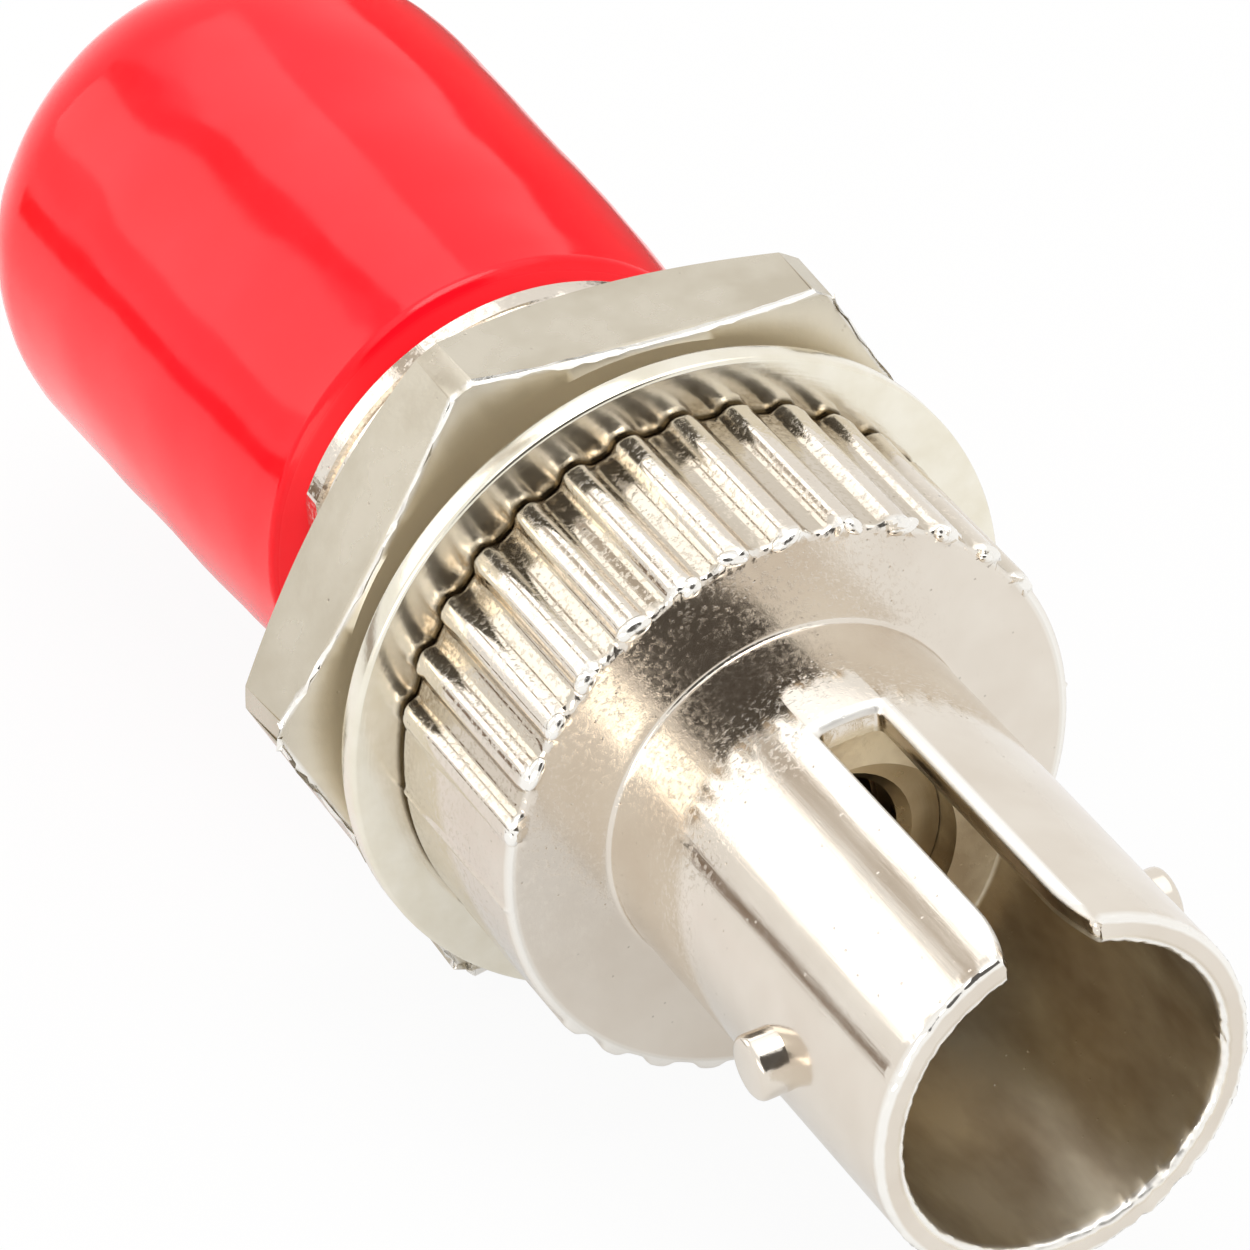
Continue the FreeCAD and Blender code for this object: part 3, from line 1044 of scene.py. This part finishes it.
def turned_metal(name, dull, bright, rough_low, rough_high):
    """Turned brass or rolled bronze, seen in the depth of the bore."""
    surface, tree, shader = new_surface(name)
    place = place_mm(tree)
    radius, station = from_axis(tree, place)
    cloud = noise(tree, place, 1.1, 4)
    colour = tint(tree, spread(tree, cloud, *mottle), dull, bright)
    roughness = spread(tree, cloud, *haze, rough_low, rough_high)
    normal = relief(tree, turned_lines(tree, radius, station, 14.0, 14.0), 0.006, 0.6)
    dress(tree, shader, colour, roughness, normal)
    return surface


make_body(cast_nickel("satin cast nickel"))
make_rear_barrel(cast_nickel("satin rear nickel"))
make_washer(washer_nickel("bright washer nickel"))
make_nut(nut_nickel("satin nut nickel"))
make_cap(red_vinyl("red dipped vinyl"))
inner_metals = {
    "sleeve_holder": turned_metal("dull turned brass", (0.46, 0.38, 0.26), (0.58, 0.50, 0.37), 0.25, 0.40),
    "alignment_sleeve": turned_metal("rolled bronze", (0.50, 0.33, 0.18), (0.62, 0.44, 0.27), 0.22, 0.36),
}
for node, surface in inner_metals.items():
    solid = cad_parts[node]
    solid.data.materials.clear()
    solid.data.materials.append(surface)

scene.view_settings.view_transform = "Standard"
camera_data = bpy.data.cameras.new("camera")
camera = bpy.data.objects.new("camera", camera_data)
scene.collection.objects.link(camera)
camera_data.sensor_width = 36.0
camera_data.lens = 239.24
camera_data.clip_start = 0.001
camera_data.clip_end = 10
camera.location = (-0.057412, -0.107702, 0.083738)
camera.rotation_euler = [math.radians(angle) for angle in (55.90247, -0.48420, -27.25877)]
scene.camera = camera


def towards(azimuth, height):
    """Direction from the coupler in degrees: round from the front mouth's side to +X, and up from level."""
    azimuth, height = math.radians(azimuth), math.radians(height)
    level = math.cos(height)
    return Vector((math.sin(azimuth) * level, -math.cos(azimuth) * level, math.sin(height)))


def soft_box(name, azimuth, height, distance, width, tall, radiance, colour=(1, 1, 1)):
    """A soft box of even brightness, facing the coupler."""
    lamp = bpy.data.lights.new(name, "AREA")
    lamp.shape = "RECTANGLE"
    lamp.size = width
    lamp.size_y = tall
    lamp.energy = radiance * math.pi * width * tall
    lamp.color = colour
    box = bpy.data.objects.new(name, lamp)
    scene.collection.objects.link(box)
    box.location = towards(azimuth, height) * distance
    box.rotation_euler = (-box.location).to_track_quat("-Z", "Y").to_euler()
    box.visible_camera = False


def dark_card(name, centre, facing, width, tall, shade):
    """A dark card beside the set, which the pieces mirror."""
    clear()
    bpy.ops.mesh.primitive_plane_add(size=1)
    card = bpy.context.object
    card.name = name
    card.location = centre
    card.rotation_euler = facing.to_track_quat("Z", "Y").to_euler()
    card.scale = (width, tall, 1)
    card.visible_camera = False
    card.visible_shadow = False
    card.visible_diffuse = False
    card.data.materials.append(matt(name, shade, 1.0)[0])


soft_box("back left soft box", azimuth=-141, height=22.5, distance=0.45, width=0.20, tall=0.215,
         radiance=1.0, colour=(1.0, 0.97, 0.92))
soft_box("back soft box", azimuth=-178, height=43, distance=0.50, width=0.23, tall=0.12, radiance=0.86)
soft_box("front left soft box", azimuth=-62, height=11, distance=0.45, width=0.36, tall=0.16,
         radiance=1.8, colour=(1.0, 0.93, 0.85))
low_left = towards(-136, -7.5)
between_boxes = towards(-157.5, 36)
beside_cap = Vector((0.015, 0.029, 0.002))
dark_card("low dark card", centre=low_left * 0.048, facing=-low_left,
          width=0.030, tall=0.009, shade=(0.26, 0.20, 0.15))
dark_card("gap between the boxes", centre=between_boxes * 0.40, facing=-between_boxes,
          width=0.058, tall=0.12, shade=(0.62, 0.56, 0.50))
dark_card("dark flag beside the cap", centre=beside_cap, facing=Vector((-1, 0, 0)),
          width=0.022, tall=0.016, shade=(0.20, 0.19, 0.18))

ceiling_edge = (0.74, 0.82)
top_light_edge = (0.945, 0.965)
dark_room_edge = [math.cos(math.radians(angle)) for angle in (29.0, 25.5)]
wall_white = (0.98, 0.97, 0.95)
ceiling_white = (1.5, 1.5, 1.5)
top_light = (5.0, 5.0, 5.0)
dark_room = (0.11, 0.103, 0.096)
backdrop_white = (1, 1, 1)
world = bpy.data.worlds.new("studio surround")
scene.world = world
world.use_nodes = True
tree = world.node_tree
background = tree.nodes["Background"]
direction = add(tree, "ShaderNodeTexCoord").outputs["Generated"]
up = add(tree, "ShaderNodeSeparateXYZ", {"Vector": direction}).outputs["Z"]
walls = tint(tree, spread(tree, up, *ceiling_edge), wall_white, ceiling_white)
walls = tint(tree, spread(tree, up, *top_light_edge), walls, top_light)
nearness = along(tree, direction, towards(-10, 41))
surround = tint(tree, spread(tree, nearness, *dark_room_edge), walls, dark_room)
seen = add(tree, "ShaderNodeLightPath").outputs["Is Camera Ray"]
tree.links.new(tint(tree, seen, surround, backdrop_white), background.inputs["Color"])
background.inputs["Strength"].default_value = 1.0

floor_height = -0.00651
floor_width = 4
seen_glow = 0.94
mirrored_glow = 0.50
clear()
bpy.ops.mesh.primitive_plane_add(size=floor_width, location=(0, 0, floor_height))
floor = bpy.context.object
floor.name = "studio floor"
surface, tree, shader = matt("pale floor", (0.70, 0.70, 0.69), 0.9)
path = add(tree, "ShaderNodeLightPath")
mirrored = path.outputs["Is Glossy Ray"]
direct = maths(tree, "MAXIMUM", mirrored, path.outputs["Is Transmission Ray"])
direct = maths(tree, "MAXIMUM", path.outputs["Is Camera Ray"], direct)
share = product(tree, direct, spread(tree, mirrored, 0.0, 1.0, seen_glow, mirrored_glow))
white = add(tree, "ShaderNodeEmission", {"Color": (1, 1, 1, 1), "Strength": 1.0}).outputs["Emission"]
paper = add(tree, "ShaderNodeMixShader", {0: share, 1: shader.outputs["BSDF"], 2: white}).outputs["Shader"]
tree.links.new(paper, tree.nodes["Material Output"].inputs["Surface"])
floor.data.materials.append(surface)
